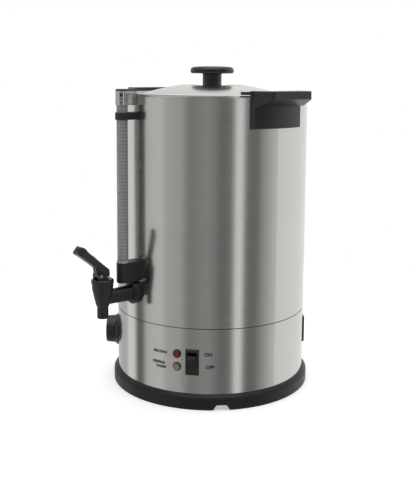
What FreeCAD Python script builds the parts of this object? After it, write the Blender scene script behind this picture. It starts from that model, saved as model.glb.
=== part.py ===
"""Catering hot water urn, about twenty litres, as a parametric assembly.

Millimetres, +Z up. The origin is the centre of the base, on the surface it stands on.
The tap looks along -Y. An azimuth is measured from the tap, towards +X.
Each piece off the centre line is drawn in its own radial frame, with X pointing out
from the urn's axis and Y running round it, and is then turned to its azimuth.
"""
import FreeCAD, Part
import math
import os
import re
import Sketcher

Vector = FreeCAD.Vector
doc = FreeCAD.newDocument("hot_water_urn")
sheet = doc.addObject("Spreadsheet::Sheet", "Sizes")

SIZES = {
    # shell of the urn
    "body_radius": 150, "sheet_steel": 1, "seam_height": 121, "rim_height": 458.2,
    "bead_radius": 1.6, "housing_step": 0.4, "seam_gap": 0.5, "floor_drop": 9,
    "piece_gap": 0.3, "fit_gap": 0.05,
    # base
    "base_flare": 6.4, "base_height": 21.6, "shoulder_drop": 6, "foot_width": 10,
    "ledge_height": 14, "plate_height": 9, "boss_radius": 5.2,
    "notch_width": 25.7, "notch_top_width": 14.3, "notch_height": 8, "notch_azimuth": 56.4,
    "base_screw_inset": 8.5, "tie_rod_inset": 14, "vent_count": 20,
    # lid
    "lid_clearance": 0.7, "lid_trough_drop": 3, "trough_width": 37,
    "dome_radius": 350, "dish_radius": 50, "dish_depth": 1.2, "knob_disc_radius": 34.2,
    "knob_disc_thickness": 11.5, "knob_stem_radius": 14.9, "knob_stem_height": 19,
    # carrying handles
    "handle_half_angle": 19, "handle_front_angle": 16.8, "handle_plate": 6.4,
    "handle_reach": 29.4, "grip_half_width": 38.6, "grip_root_half_width": 47,
    "handle_above_rim": 6.8, "handle_height": 54, "grip_thickness": 11.6, "grip_root": 22,
    "rim_saddle_angle": 24.5, "handle_screw_spacing": 60, "handle_screw_radius": 2.5,
    # level gauge
    "gauge_reach": 20.6, "tube_radius": 8.2, "tube_wall": 1.3, "tube_drop": 2.2,
    "port_rise": 28.5, "block_below": 10.6, "block_above": 20, "block_radius": 9.8,
    "clip_drop": 31.2, "clip_width": 10.5, "clip_thickness": 2, "cap_drop": 15.4,
    "cap_rise": 5.3, "cap_thickness": 1, "plug_crown": 2.8,
    # tap
    "tap_rise": 40.5, "tap_reach": 56.5, "shank_radius": 11, "thread_radius": 9.5,
    "shank_bore": 7, "collar_radius": 17.2, "bowl_radius": 16, "bowl_rise": 23.5,
    "spout_radius": 8.4, "spout_drop": 30, "seat_rise": 4.5, "chamber_radius": 12.5,
    "spout_bore": 6, "bonnet_rise": 5.5, "ear_thickness": 3.4, "pivot_rise": 5.5,
    "pivot_offset": 7, "pivot_radius": 2, "tongue_width": 10.4, "stem_radius": 2.5,
    "paddle_angle": 40, "paddle_length": 57, "paddle_width": 19, "paddle_rise": 8,
    "paddle_root_thickness": 10.6, "paddle_tip_thickness": 13,
    # thermostat
    "thermostat_azimuth": -40, "thermostat_height": 73.6, "dial_radius": 22.3,
    "dial_depth": 14.2, "bezel_radius": 28, "bezel_proud": 4, "shaft_radius": 3,
    # switch and lamps
    "switch_azimuth": 40, "switch_height": 70, "switch_width": 20.1, "switch_length": 37.6,
    "rocker_width": 12.6, "rocker_length": 26, "switch_proud": 2.6,
    "lamp_azimuth": 31, "upper_lamp_height": 81, "lower_lamp_height": 61.6,
    "lamp_radius": 6.5, "lens_radius": 5.2,
    # appliance inlet
    "inlet_azimuth": 140, "inlet_height": 79.5, "inlet_width": 30, "inlet_length": 41,
    "inlet_proud": 1.8,
    # heating
    "heater_radius": 70, "heater_thickness": 4, "coil_radius": 54, "coil_wire": 3.5,
}

# Places that follow from those sizes, so that the pieces keep together when one changes
PLACES = {
    "base_radius": "(body_radius + base_flare)",
    "base_screw_circle": "(body_radius - base_screw_inset)",
    "dome_foot_radius": "(body_radius - trough_width)",
    "gauge_axis": "(body_radius + gauge_reach)",
    "port_height": "(seam_height + tap_rise + port_rise)",
    "block_bottom": "(seam_height + tap_rise + port_rise - block_below)",
    "block_top": "(seam_height + tap_rise + port_rise + block_above)",
    "tube_top": "(rim_height - tube_drop)",
    "clip_height": "(rim_height - clip_drop)",
    "cap_bottom": "(rim_height - cap_drop)",
    "cap_top": "(rim_height + cap_rise)",
    "tap_axis": "(body_radius + tap_reach)",
    "tap_height": "(seam_height + tap_rise)",
    "spout_bottom": "(seam_height + tap_rise - spout_drop)",
    "seat_height": "(seam_height + tap_rise + seat_rise)",
    "bowl_top": "(seam_height + tap_rise + bowl_rise)",
    "bonnet_top": "(seam_height + tap_rise + bowl_rise + bonnet_rise)",
    "pivot_height": "(seam_height + tap_rise + bowl_rise + bonnet_rise + pivot_rise)",
    "paddle_height": "(seam_height + tap_rise + bowl_rise + bonnet_rise + pivot_rise + paddle_rise)",
    "bezel_front": "(body_radius + bezel_proud)",
    "switch_front": "(body_radius + switch_proud)",
    "inlet_front": "(body_radius + inlet_proud)",
}

for row, (name, number) in enumerate(SIZES.items(), start=1):
    sheet.set(f"A{row}", str(number))
    sheet.setAlias(f"A{row}", name)
doc.recompute()

ALIAS = re.compile(r"\b(" + "|".join(SIZES) + r")\b")
PLACE = re.compile(r"\b(" + "|".join(PLACES) + r")\b")
nodes = []


def bound(text):
    """The same formula, with each place spelt out and each size read from the sheet."""
    spelt = PLACE.sub(lambda found: PLACES[found.group(1)], str(text))
    return ALIAS.sub(r"Sizes.\1", spelt)


def size(text):
    """What a formula of the sheet's sizes gives now."""
    return float(sheet.evalExpression(bound(text)))


def turned_to(azimuth):
    """The radial frame at an azimuth."""
    return FreeCAD.Placement(Vector(0, 0, 0), FreeCAD.Rotation(Vector(0, 0, 1), azimuth - 90))


def plane_of(body, role):
    return [f for f in body.Origin.OriginFeatures if f.Role == role][0]


def draw(body, outline, role="XZ_Plane", axis_height=None):
    """A closed sketch through the outline's corners, each placed by its two formulas."""
    sketch = body.newObject("Sketcher::SketchObject", "outline")
    sketch.AttachmentSupport = [(plane_of(body, role), "")]
    sketch.MapMode = "FlatFace"
    corners = [Vector(size(x), size(y), 0) for x, y in outline]
    count = len(corners)
    for i in range(count):
        sketch.addGeometry(Part.LineSegment(corners[i], corners[(i + 1) % count]), False)
    for i in range(count):
        sketch.addConstraint(Sketcher.Constraint("Coincident", i, 2, (i + 1) % count, 1))
    for i, (x, y) in enumerate(outline):
        for kind, text, line in (("DistanceX", x, -2), ("DistanceY", y, -1)):
            if abs(size(text)) < 1e-9:
                sketch.addConstraint(Sketcher.Constraint("PointOnObject", i, 1, line))
                continue
            placed = Sketcher.Constraint(kind, -1, 1, i, 1, size(text))
            sketch.setExpression(f"Constraints[{sketch.addConstraint(placed)}]", bound(text))
    if axis_height is not None:
        level = size(axis_height)
        line = sketch.addGeometry(Part.LineSegment(Vector(0, level, 0), Vector(1, level, 0)), True)
        sketch.addConstraint(Sketcher.Constraint("Horizontal", line))
        sketch.addConstraint(Sketcher.Constraint("PointOnObject", line, 1, -2))
        sketch.addConstraint(Sketcher.Constraint("DistanceX", line, 1, line, 2, 1))
        placed = Sketcher.Constraint("DistanceY", -1, 1, line, 1, level)
        sketch.setExpression(f"Constraints[{sketch.addConstraint(placed)}]", bound(axis_height))
    return sketch


def new_body(label, azimuth=None):
    body = doc.addObject("PartDesign::Body", label)
    body.Label = label
    if azimuth is not None:
        body.Placement = turned_to(size(azimuth))
    return body


def revolve(body, outline, axis_height=None):
    """Turns the outline about the urn's axis, or about a radial line at axis_height."""
    sketch = draw(body, outline, axis_height=axis_height)
    feature = body.newObject("PartDesign::Revolution", "turned")
    feature.Profile = sketch
    feature.ReferenceAxis = (sketch, ["V_Axis" if axis_height is None else "Axis0"])
    feature.Angle = 360
    doc.recompute()
    return feature


def repeat(body, feature, count):
    """Copies a cut round the urn's axis."""
    pattern = body.newObject("PartDesign::PolarPattern", "round")
    pattern.Originals = [feature]
    pattern.Axis = (plane_of(body, "Z_Axis"), [""])
    pattern.Angle = 360
    pattern.Occurrences = count
    body.Tip = pattern
    doc.recompute()
    return pattern


def middle(edge):
    """The middle of an edge, in the frame of the shape."""
    return edge.valueAt((edge.FirstParameter + edge.LastParameter) / 2)


def keep(item):
    nodes.append(item)
    return item


def solid(label, shape, azimuth=None):
    """A piece whose shape comes from solid operations."""
    feature = doc.addObject("Part::Feature", label)
    feature.Label = label
    feature.Shape = shape
    if azimuth is not None:
        feature.Placement = turned_to(size(azimuth)).multiply(shape.Placement)
    return keep(feature)


def cut_from(label, body, tools):
    """The body with the tools cut out of it, as a Part::Cut."""
    tool = doc.addObject("Part::Feature", label + "_cutters")
    tool.Shape = Part.makeCompound(tools)
    result = doc.addObject("Part::Cut", label)
    body.Label = label + "_blank"
    result.Label = label
    result.Base = body
    result.Tool = tool
    doc.recompute()
    return keep(result)


def rod(radius, start, end, height, side=0.0):
    """A cylinder along the radial X line, from start to end."""
    return Part.makeCylinder(size(radius), size(end) - size(start),
                             Vector(size(start), side, size(height)), Vector(1, 0, 0))


def post(radius, bottom, top, out=0.0, side=0.0):
    """An upright cylinder."""
    return Part.makeCylinder(size(radius), size(top) - size(bottom), Vector(out, side, size(bottom)))


def block(x0, x1, y0, y1, z0, z1):
    return Part.makeBox(x1 - x0, y1 - y0, z1 - z0, Vector(x0, y0, z0))


def at(azimuth, shape):
    """A shape of a radial frame, turned to the azimuth."""
    moved = shape.copy()
    moved.Placement = turned_to(size(azimuth)).multiply(moved.Placement)
    return moved


def rounded(shape, radius, chosen):
    edges = [e for e in shape.Edges if chosen(e)]
    return shape.makeFillet(radius, edges) if edges else shape


def plain_screw(shank_radius, length, head_radius, head_height):
    """A pan head screw along +X, its head's seat at the origin."""
    shank = Part.makeCylinder(shank_radius, length, Vector(0, 0, 0), Vector(1, 0, 0))
    head = Part.makeCylinder(head_radius, head_height, Vector(-head_height, 0, 0), Vector(1, 0, 0))
    head = rounded(head, head_height * 0.6, lambda e: middle(e).x < -head_height * 0.9)
    slot = block(-head_height * 1.1, -head_height * 0.5, -0.5, 0.5, -head_radius, head_radius)
    return shank.fuse(head).cut(slot).removeSplitter()


lower_radius = "(body_radius - housing_step)"

# Base ring: a moulded ring whose foot has three notches, with a ledge for the housing
ring = new_body("base_ring_turned", "notch_azimuth")
foot_inner = "base_radius - foot_width"
seat = f"{lower_radius} + fit_gap"
revolve(ring, [
    (foot_inner, 0), ("base_radius - 0.8", 0), ("base_radius", 0.8),
    ("base_radius", "base_height - shoulder_drop"),
    ("body_radius + 4.9", "base_height - 3.2"), ("body_radius + 2.8", "base_height - 1"),
    ("body_radius + 1.4", "base_height"),
    (seat, "base_height"), (seat, "ledge_height"), (foot_inner, "ledge_height"),
])
notch_half = "notch_width / 2"
notch = ring.newObject("PartDesign::Pocket", "notch")
notch.Profile = draw(ring, [
    (f"-{notch_half}", 0), (notch_half, 0), (f"{notch_half} - 3", "notch_height * 0.6"),
    ("notch_top_width / 2", "notch_height"), ("-notch_top_width / 2", "notch_height"),
    (f"3 - {notch_half}", "notch_height * 0.6"),
], "YZ_Plane")
notch.Reversed = True
notch.setExpression("Length", bound("base_radius + 10"))
uncut_volume = ring.Shape.Volume
doc.recompute()
if notch.Shape.Volume >= uncut_volume - 1:
    raise ValueError("the notch cuts nothing")
repeat(ring, notch, 3)
SCREW_AZIMUTHS = [45 + 90 * quarter for quarter in range(4)]


def at_screws(radius, bottom, top):
    """Upright cylinders at the base's four screw places."""
    return [at(str(a), post(radius, bottom, top, size("base_screw_circle"))) for a in SCREW_AZIMUTHS]


bosses = doc.addObject("Part::Feature", "base_bosses")
bosses.Shape = Part.makeCompound(at_screws("boss_radius", "plate_height", "ledge_height"))
ring_and_bosses = doc.addObject("Part::Fuse", "base_ring_with_bosses")
ring_and_bosses.Base = ring
ring_and_bosses.Tool = bosses
doc.recompute()
cut_from("base_ring", ring_and_bosses, at_screws("2.1", "plate_height - 3", "ledge_height + 3"))

# Bottom plate: a vented steel disc, screwed up to the ring's bosses
plate = new_body("bottom_plate")
plate_bottom = "plate_height - sheet_steel * 0.8"
revolve(plate, [(0, plate_bottom), (f"{foot_inner} - piece_gap", plate_bottom),
                (f"{foot_inner} - piece_gap", "plate_height"), (0, "plate_height")])
vent = plate.newObject("PartDesign::Pocket", "vent")
vent.Profile = draw(plate, [(60, -3), (100, -3), (102, 0), (100, 3), (60, 3), (58, 0)], "XY_Plane")
vent.SideType = "Symmetric"
vent.setExpression("Length", bound("plate_height * 3"))
doc.recompute()
repeat(plate, vent, int(size("vent_count")))
cut_from("bottom_plate", plate, at_screws("2.1", "plate_height - 3", "plate_height + 3"))


def upright_screw(azimuth):
    screw = plain_screw(2.0, size("ledge_height - plate_height + sheet_steel"), 4, 1.8)
    screw.Placement = FreeCAD.Placement(
        Vector(size("base_screw_circle"), 0, size(plate_bottom)),
        FreeCAD.Rotation(Vector(0, 1, 0), -90))
    return at(str(azimuth), Part.makeCompound([screw]))


solid("base_screws", Part.makeCompound([upright_screw(a) for a in SCREW_AZIMUTHS]))

# Lower housing: a steel band whose top edge turns in and carries the tank
housing = new_body("lower_housing")
housing_inner = f"{lower_radius} - sheet_steel"
revolve(housing, [
    (housing_inner, "ledge_height"), (lower_radius, "ledge_height"),
    (lower_radius, "seam_height - seam_gap - 0.6"), (f"{lower_radius} - 0.6", "seam_height - seam_gap"),
    (f"{lower_radius} - 8", "seam_height - seam_gap"),
    (f"{lower_radius} - 8", "seam_height - seam_gap - sheet_steel"),
    (housing_inner, "seam_height - seam_gap - sheet_steel"),
])


def wall_box(azimuth, width, length, height):
    """A cutter for a rectangular hole in the side wall."""
    half, tall, level = size(width) / 2, size(length) / 2, size(height)
    return at(azimuth, block(size("body_radius - 30"), size("body_radius + 15"),
                             -half, half, level - tall, level + tall))


def wall_hole(azimuth, radius, height, side=0.0):
    return at(azimuth, rod(radius, "body_radius - 30", "body_radius + 15", height, side))


cut_from("lower_housing", housing, [
    wall_box("switch_azimuth", "switch_width - 2.6", "switch_length - 3", "switch_height"),
    wall_hole("lamp_azimuth", "lens_radius - 0.4", "upper_lamp_height"),
    wall_hole("lamp_azimuth", "lens_radius - 0.4", "lower_lamp_height"),
    wall_hole("thermostat_azimuth", "5.1", "thermostat_height"),
    wall_box("inlet_azimuth", "inlet_width - 5", "inlet_length - 16", "inlet_height"),
    wall_hole("inlet_azimuth", "1.6", "inlet_height + inlet_length / 2 - 4.4"),
    wall_hole("inlet_azimuth", "1.6", "inlet_height - inlet_length / 2 + 4.4"),
])

# Tank wall: the tall steel cylinder, with a rolled bead at its rim
tank = new_body("tank_wall")
wall_inner = "body_radius - sheet_steel"
bead = "rim_height - 2 * bead_radius"
revolve(tank, [
    (wall_inner, "seam_height"), ("body_radius", "seam_height"), ("body_radius", bead),
    ("body_radius + 0.8", f"{bead} + 0.5"), ("body_radius + 1.2", f"{bead} + bead_radius"),
    ("body_radius + 0.8", "rim_height - 0.5"), ("body_radius - 0.1", "rim_height"),
    ("body_radius - 1.2", "rim_height - 0.2"), ("body_radius - 1.9", "rim_height - 1"),
    (wall_inner, f"{bead} + 0.6"),
])
spacing = size("handle_screw_spacing / 2")
screw_level = "rim_height + handle_above_rim - handle_height + 17"
tank_cutters = [
    wall_hole("0", "thread_radius + 0.4", "tap_height"),
    wall_hole("0", "5.4", "port_height"),
    wall_hole("0", "2.1", "clip_height"),
]
for handle_azimuth in ("90", "-90"):
    for side in (-spacing, spacing):
        tank_cutters.append(wall_hole(handle_azimuth, "handle_screw_radius + 0.2", screw_level, side))
cut_from("tank_wall", tank, tank_cutters)

# Tank floor: a pressed pan inside the wall, carried by the housing's turned edge
floor = new_body("tank_floor")
floor_top = "seam_height + floor_drop"
revolve(floor, [
    (0, f"{floor_top} - sheet_steel"), (f"{wall_inner} - sheet_steel", f"{floor_top} - sheet_steel"),
    (f"{wall_inner} - sheet_steel", "seam_height - seam_gap"),
    (f"{wall_inner} - fit_gap", "seam_height - seam_gap"), (f"{wall_inner} - fit_gap", floor_top),
    (0, floor_top),
])
keep(floor)

# Tie rods: three posts between the bottom plate and the tank floor
rod_top = f"{floor_top} - sheet_steel"
rods = []
for third in range(3):
    tie = post("4", "plate_height", rod_top, size("body_radius - tie_rod_inset"))
    rods.append(at(str(size("notch_azimuth") + 60 + 120 * third), tie))
solid("tie_rods", Part.makeCompound(rods))

# Heating: a cast plate under the floor, its tubular element and the dry boil cutout
solid("heater_plate", post("heater_radius", f"{rod_top} - heater_thickness", rod_top).cut(
    post("13", f"{rod_top} - heater_thickness - 1", f"{rod_top} - 1")))
coil_level = size(f"{rod_top} - heater_thickness - coil_wire")
coil = Part.makeTorus(size("coil_radius"), size("coil_wire"), Vector(0, 0, coil_level))
for side in (-12, 12):
    leg_out = math.sqrt(size("coil_radius") ** 2 - side ** 2)
    coil = coil.fuse(Part.makeCylinder(2.6, 24, Vector(-leg_out, side, coil_level - 24)))
solid("heater_element", coil.removeSplitter())
cutout = post("12", f"{rod_top} - 13", f"{rod_top} - 1")
cutout = cutout.fuse(block(-3, 3, -10, -9.2, size(f"{rod_top} - 22"), size(f"{rod_top} - 12")))
cutout = cutout.fuse(block(-3, 3, 9.2, 10, size(f"{rod_top} - 22"), size(f"{rod_top} - 12")))
solid("dry_boil_cutout", cutout.removeSplitter())
solid("thermostat_bulb", Part.makeCylinder(3, 66, Vector(-33, 92, size(f"{rod_top} - 3")), Vector(1, 0, 0)))
solid("terminal_block", at("inlet_azimuth", Part.makeCompound([rounded(
    block(60, 96, -14, 14, size("plate_height"), size("plate_height + 18")), 1.5,
    lambda e: middle(e).z > size("plate_height + 17"))])))

# Lid: a pressed dome with a flat rim, a trough and a dished centre
lid = new_body("lid_shell")
rest_level = size("rim_height")
skin = size("sheet_steel")
foot_z = rest_level - size("lid_trough_drop") + skin
neck_r = size("body_radius - 1.9 - lid_clearance")


def dome_point(radius, offset):
    """A point of the dome's arc, offset along the arc's radius."""
    big = size("dome_radius")
    foot = size("dome_foot_radius")
    centre = foot_z - math.sqrt(big ** 2 - foot ** 2)
    slope = math.asin(radius / big)
    return Vector((big + offset) * math.sin(slope), 0, centre + (big + offset) * math.cos(slope))


foot_r = size("dome_foot_radius")
dish_r = size("dish_radius")
dish_z = dome_point(dish_r, 0).z - size("dish_depth")
edge_r = size("body_radius + 0.2")
upper = [Vector(0, 0, dish_z), Vector(dish_r - 1.4, 0, dish_z), Vector(dish_r, 0, dome_point(dish_r, 0).z)]
flat = [Vector(foot_r, 0, foot_z), Vector(neck_r - skin - 1.5, 0, foot_z),
        Vector(neck_r - skin, 0, foot_z + 1), Vector(neck_r - skin, 0, rest_level + skin - 0.4),
        Vector(neck_r - skin + 0.6, 0, rest_level + skin), Vector(edge_r - 0.4, 0, rest_level + skin),
        Vector(edge_r, 0, rest_level + skin - 0.4), Vector(edge_r, 0, rest_level + 0.02),
        Vector(neck_r, 0, rest_level + 0.02), Vector(neck_r, 0, foot_z - skin + 0.6),
        Vector(neck_r - 0.8, 0, foot_z - skin), Vector(foot_r, 0, foot_z - skin)]
inner_dish = dome_point(dish_r - skin * 0.2, -skin)
lower = [inner_dish, Vector(dish_r - 1.4 - skin * 0.6, 0, dish_z - skin), Vector(0, 0, dish_z - skin)]
top_arc = Part.Arc(upper[-1], dome_point((dish_r + foot_r) / 2, 0), flat[0]).toShape()
low_arc = Part.Arc(flat[-1], dome_point((dish_r + foot_r) / 2, -skin), lower[0]).toShape()


def chain(points):
    return [Part.LineSegment(a, b).toShape() for a, b in zip(points, points[1:])]


edges = chain(upper) + [top_arc] + chain(flat) + [low_arc] + chain(lower) + chain([lower[-1], upper[0]])
doc.removeObject(lid.Name)
lid_shape = Part.Face(Part.Wire(edges)).revolve(Vector(0, 0, 0), Vector(0, 0, 1), 360)
lid_shape = lid_shape.cut(Part.makeCylinder(2.7, 60, Vector(0, 0, dish_z - 30)))
solid("lid_shell", lid_shape)

# Lid knob: a disc on a stout stem, with a blind bore for its screw
knob_bottom = dish_z
disc_bottom = knob_bottom + size("knob_stem_height")
disc_top = disc_bottom + size("knob_disc_thickness")
disc_r, stem_r = size("knob_disc_radius"), size("knob_stem_radius")
crown = [Vector(0, 0, knob_bottom), Vector(stem_r + 0.8, 0, knob_bottom),
         Vector(stem_r, 0, knob_bottom + 2), Vector(stem_r, 0, disc_bottom - 1),
         Vector(stem_r + 1.2, 0, disc_bottom), Vector(disc_r - 2.2, 0, disc_bottom + 0.4)]
crown_arcs = [
    Part.Arc(crown[-1], Vector(disc_r - 0.3, 0, disc_bottom + 2.2),
             Vector(disc_r, 0, disc_bottom + 5)).toShape(),
    Part.Arc(Vector(disc_r, 0, disc_bottom + 5), Vector(disc_r - 1.6, 0, disc_bottom + 8.6),
             Vector(disc_r - 6, 0, disc_top - 1)).toShape(),
    Part.Arc(Vector(disc_r - 6, 0, disc_top - 1), Vector(disc_r / 2, 0, disc_top - 0.2),
             Vector(4, 0, disc_top)).toShape(),
]
knob_axis = chain([Vector(4, 0, disc_top), Vector(0, 0, disc_top), crown[0]])
knob_face = Part.Face(Part.Wire(chain(crown) + crown_arcs + knob_axis))
knob = knob_face.revolve(Vector(0, 0, 0), Vector(0, 0, 1), 360)
knob = knob.cut(Part.makeCylinder(2.55, 16, Vector(0, 0, knob_bottom - 1)))
solid("lid_knob", knob)
washer = Part.makeCylinder(9, 1.2, Vector(0, 0, dish_z - skin - 1.2)).cut(
    Part.makeCylinder(2.7, 10, Vector(0, 0, dish_z - 8)))
solid("lid_washer", washer)
lid_screw = plain_screw(2.5, 14.5, 5, 2.6)
lid_screw.Placement = FreeCAD.Placement(Vector(0, 0, dish_z - skin - 1.2),
                                        FreeCAD.Rotation(Vector(0, 1, 0), -90))
solid("lid_knob_screw", Part.makeCompound([lid_screw]))


# Carrying handles: a curved wall plate, a flared ledge to hold and a saddle over the rim
def handle_shape():
    wall = size("body_radius") + 0.1
    front = wall + size("handle_plate")
    top = size("rim_height + handle_above_rim")
    bottom = top - size("handle_height")
    foot_angle = math.radians(size("handle_half_angle"))
    face_angle = math.radians(size("handle_front_angle"))
    reach = size("body_radius + handle_reach")
    grip, root = size("grip_half_width"), size("grip_root_half_width")

    def on(radius, angle):
        return Vector(radius * math.cos(angle), radius * math.sin(angle), 0)

    foot_a, foot_b = on(wall, -foot_angle), on(wall, foot_angle)
    face_a, face_b = on(front, -face_angle), on(front, face_angle)
    plan = Part.Wire([
        Part.Arc(foot_a, Vector(wall, 0, 0), foot_b).toShape(), Part.LineSegment(foot_b, face_b).toShape(),
        Part.Arc(face_b, Vector(front, 0, 0), face_a).toShape(), Part.LineSegment(face_a, foot_a).toShape()])
    wall_plate = Part.Face(plan).extrude(Vector(0, 0, top - bottom))
    wall_plate.translate(Vector(0, 0, bottom))
    inside = wall * math.cos(foot_angle) + 4
    ledge = Part.Face(Part.makePolygon([
        Vector(inside, -root, 0), Vector(reach, -grip, 0), Vector(reach, grip, 0),
        Vector(inside, root, 0), Vector(inside, -root, 0)]))
    depth = size("grip_root")
    ledge = ledge.extrude(Vector(0, 0, depth))
    ledge.translate(Vector(0, 0, top - depth))
    slope = Part.Face(Part.makePolygon([
        Vector(front, -90, top - depth - 0.01), Vector(reach + 2, -90, top - size("grip_thickness") + 0.9),
        Vector(reach + 2, -90, top - depth - 9), Vector(front, -90, top - depth - 9),
        Vector(front, -90, top - depth - 0.01)])).extrude(Vector(0, 180, 0))
    ledge = ledge.cut(slope)
    ledge = rounded(ledge, 4, lambda e: abs(abs(middle(e).y) - grip) < 0.5
                    and abs(middle(e).x - reach) < 0.5 and len(e.Vertexes) == 2
                    and abs(e.Vertexes[0].Z - e.Vertexes[1].Z) > 5)
    body = wall_plate.fuse(ledge).cut(Part.makeCylinder(wall, 200, Vector(0, 0, bottom - 50))).removeSplitter()
    saddle_angle = size("rim_saddle_angle")
    saddle = Part.makeCylinder(wall + 4.4, 4.6, Vector(0, 0, top - 5.6), Vector(0, 0, 1), 2 * saddle_angle)
    saddle.rotate(Vector(0, 0, 0), Vector(0, 0, 1), -saddle_angle)
    saddle = saddle.cut(Part.makeCylinder(size("body_radius") + 0.5, 30, Vector(0, 0, top - 20)))
    body = body.fuse(saddle).removeSplitter()
    body = rounded(body, 1.2, lambda e: abs(middle(e).z - top) < 0.01 and middle(e).x > wall + 1)
    body = rounded(body, 1.2, lambda e: abs(middle(e).z - bottom) < 0.01 and middle(e).x > wall + 1)
    relief = size("body_radius + 1.2 + piece_gap")
    body = body.cut(Part.makeCylinder(relief, 60, Vector(0, 0, size("rim_height - 4"))).cut(
        Part.makeCylinder(relief + 60, 60, Vector(0, 0, size("rim_height + 0.4")))))
    body = body.cut(Part.makeCylinder(edge_r + size("piece_gap"), 60, Vector(0, 0, size("rim_height"))))
    for side in (-spacing, spacing):
        body = body.cut(rod("handle_screw_radius", "body_radius - 20", "body_radius + handle_plate - 5.4",
                            screw_level, side))
    return body


def handle_screws():
    screws = []
    for side in (-spacing, spacing):
        inner = math.sqrt(size(wall_inner) ** 2 - (abs(side) + 5) ** 2)
        screw = plain_screw(size("handle_screw_radius") - size("fit_gap"),
                            size("body_radius + handle_plate - 5.8") - inner + 1.5, 5, 2.4)
        screw.translate(Vector(inner - 1.5, side, size(screw_level)))
        screws.append(screw)
    return Part.makeCompound(screws)


for handle_name, handle_azimuth in (("right", "90"), ("left", "-90")):
    solid(f"{handle_name}_handle", handle_shape(), handle_azimuth)
    solid(f"{handle_name}_handle_screws", handle_screws(), handle_azimuth)

# Level gauge: a clear tube in a lower block, held by a clip and a steel cap
axis = size("gauge_axis")
hug = size("body_radius") + 0.1


def gauge_link(radius, bottom, top):
    """A rounded bar in plan, from the tank wall out round the tube's axis."""
    around = Part.makeCylinder(radius, top - bottom, Vector(axis, 0, bottom))
    bar = block(size("body_radius") - 6, axis, -radius, radius, bottom, top)
    return around.fuse(bar).removeSplitter()


wall_core = Part.makeCylinder(hug, 600, Vector(0, 0, 0))
tube_r = size("tube_radius")
block_top, block_bottom = size("block_top"), size("block_bottom")
tube_foot = block_top - 12
tube = Part.makeCylinder(tube_r, size("tube_top") - tube_foot, Vector(axis, 0, tube_foot))
tube = tube.cut(Part.makeCylinder(tube_r - size("tube_wall"), 500, Vector(axis, 0, tube_foot - 20)))
solid("gauge_tube", tube, "0")
lower = rounded(gauge_link(size("block_radius"), block_bottom, block_top), 1.5,
                lambda e: abs(middle(e).z - block_bottom) < 0.01 and middle(e).x > axis - 25)
lower = lower.cut(wall_core)
lower = lower.fuse(rod("5.2", "body_radius - 16", "body_radius + 4", "port_height"))
lower = lower.cut(Part.makeCylinder(tube_r + 0.1, 30, Vector(axis, 0, tube_foot)))
lower = lower.cut(Part.makeCylinder(4, 30, Vector(axis, 0, size("port_height"))))
lower = lower.cut(rod("3", "body_radius - 20", "gauge_axis", "port_height"))
solid("gauge_lower_block", lower.removeSplitter(), "0")
seal = Part.makeCylinder(tube_r + 1.1, 2.6, Vector(axis, 0, block_top)).cut(
    Part.makeCylinder(tube_r + 0.05, 30, Vector(axis, 0, block_top - 5)))
solid("gauge_seal", seal, "0")
nut_face = math.sqrt(size(wall_inner) ** 2 - 11 ** 2) - 0.1
nut = Part.makeCylinder(10, 5, Vector(nut_face - 5, 0, size("port_height")), Vector(1, 0, 0))
nut = nut.common(block(0, 200, -8.5, 8.5, 0, 400)).cut(rod("5.25", "body_radius - 50", "body_radius + 10", "port_height"))
solid("gauge_nut", nut, "0")
clip_r = tube_r + size("clip_thickness")
clip_low = size("clip_height - clip_width / 2")
clip = gauge_link(clip_r, clip_low, clip_low + size("clip_width")).cut(wall_core)
clip = clip.cut(Part.makeCylinder(tube_r + 0.05, 40, Vector(axis, 0, clip_low - 5)))
clip = clip.cut(block(size("body_radius") + 4, axis - 2, -tube_r + 1.2, tube_r - 1.2,
                      clip_low - 1, clip_low + 20))
clip = clip.cut(rod("2.05", "body_radius - 10", "body_radius + 12", "clip_height"))
solid("gauge_clip", clip.removeSplitter(), "0")
clip_screw = plain_screw(2, 5, 3.8, 2.2)
clip_screw.translate(Vector(size(wall_inner) - 0.1, 0, size("clip_height")))
solid("gauge_clip_screw", Part.makeCompound([clip_screw]), "0")
cap_r = tube_r + 0.3 + size("cap_thickness")
cap_low, cap_high = size("cap_bottom"), size("cap_top")
cap = gauge_link(cap_r, cap_low, cap_high).cut(gauge_link(cap_r - size("cap_thickness"), cap_low - 1, cap_high + 1))
cap = cap.cut(Part.makeCylinder(hug, 600)).cut(
    Part.makeCylinder(size("body_radius + 1.2 + piece_gap"), 30, Vector(0, 0, size("rim_height - 4"))))
slot_level = cap_low + 8
for turn in (-50, 50):
    slot = block(5, 14, -2.2, 2.2, slot_level, slot_level + 9)
    pin_hole = Part.makeCylinder(1.5, 12, Vector(4, 0, slot_level - 4), Vector(1, 0, 0))
    for tool in (slot, pin_hole):
        tool.rotate(Vector(0, 0, 0), Vector(0, 0, 1), turn)
        tool.translate(Vector(axis, 0, 0))
        cap = cap.cut(tool)
solid("gauge_cap", cap, "0")
plug = gauge_link(cap_r - size("cap_thickness") - 0.05, size("tube_top"), cap_high)
crown_top = cap_high + size("plug_crown")
crown = rounded(gauge_link(cap_r, cap_high, crown_top), size("plug_crown") * 0.8,
                lambda e: abs(middle(e).z - crown_top) < 0.01 and middle(e).x > axis - 18)
plug = plug.fuse(crown).cut(Part.makeCylinder(size("body_radius + 1.2 + piece_gap"), 80,
                                              Vector(0, 0, size("rim_height") - 20)))
solid("gauge_plug", plug.removeSplitter(), "0")

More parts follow.
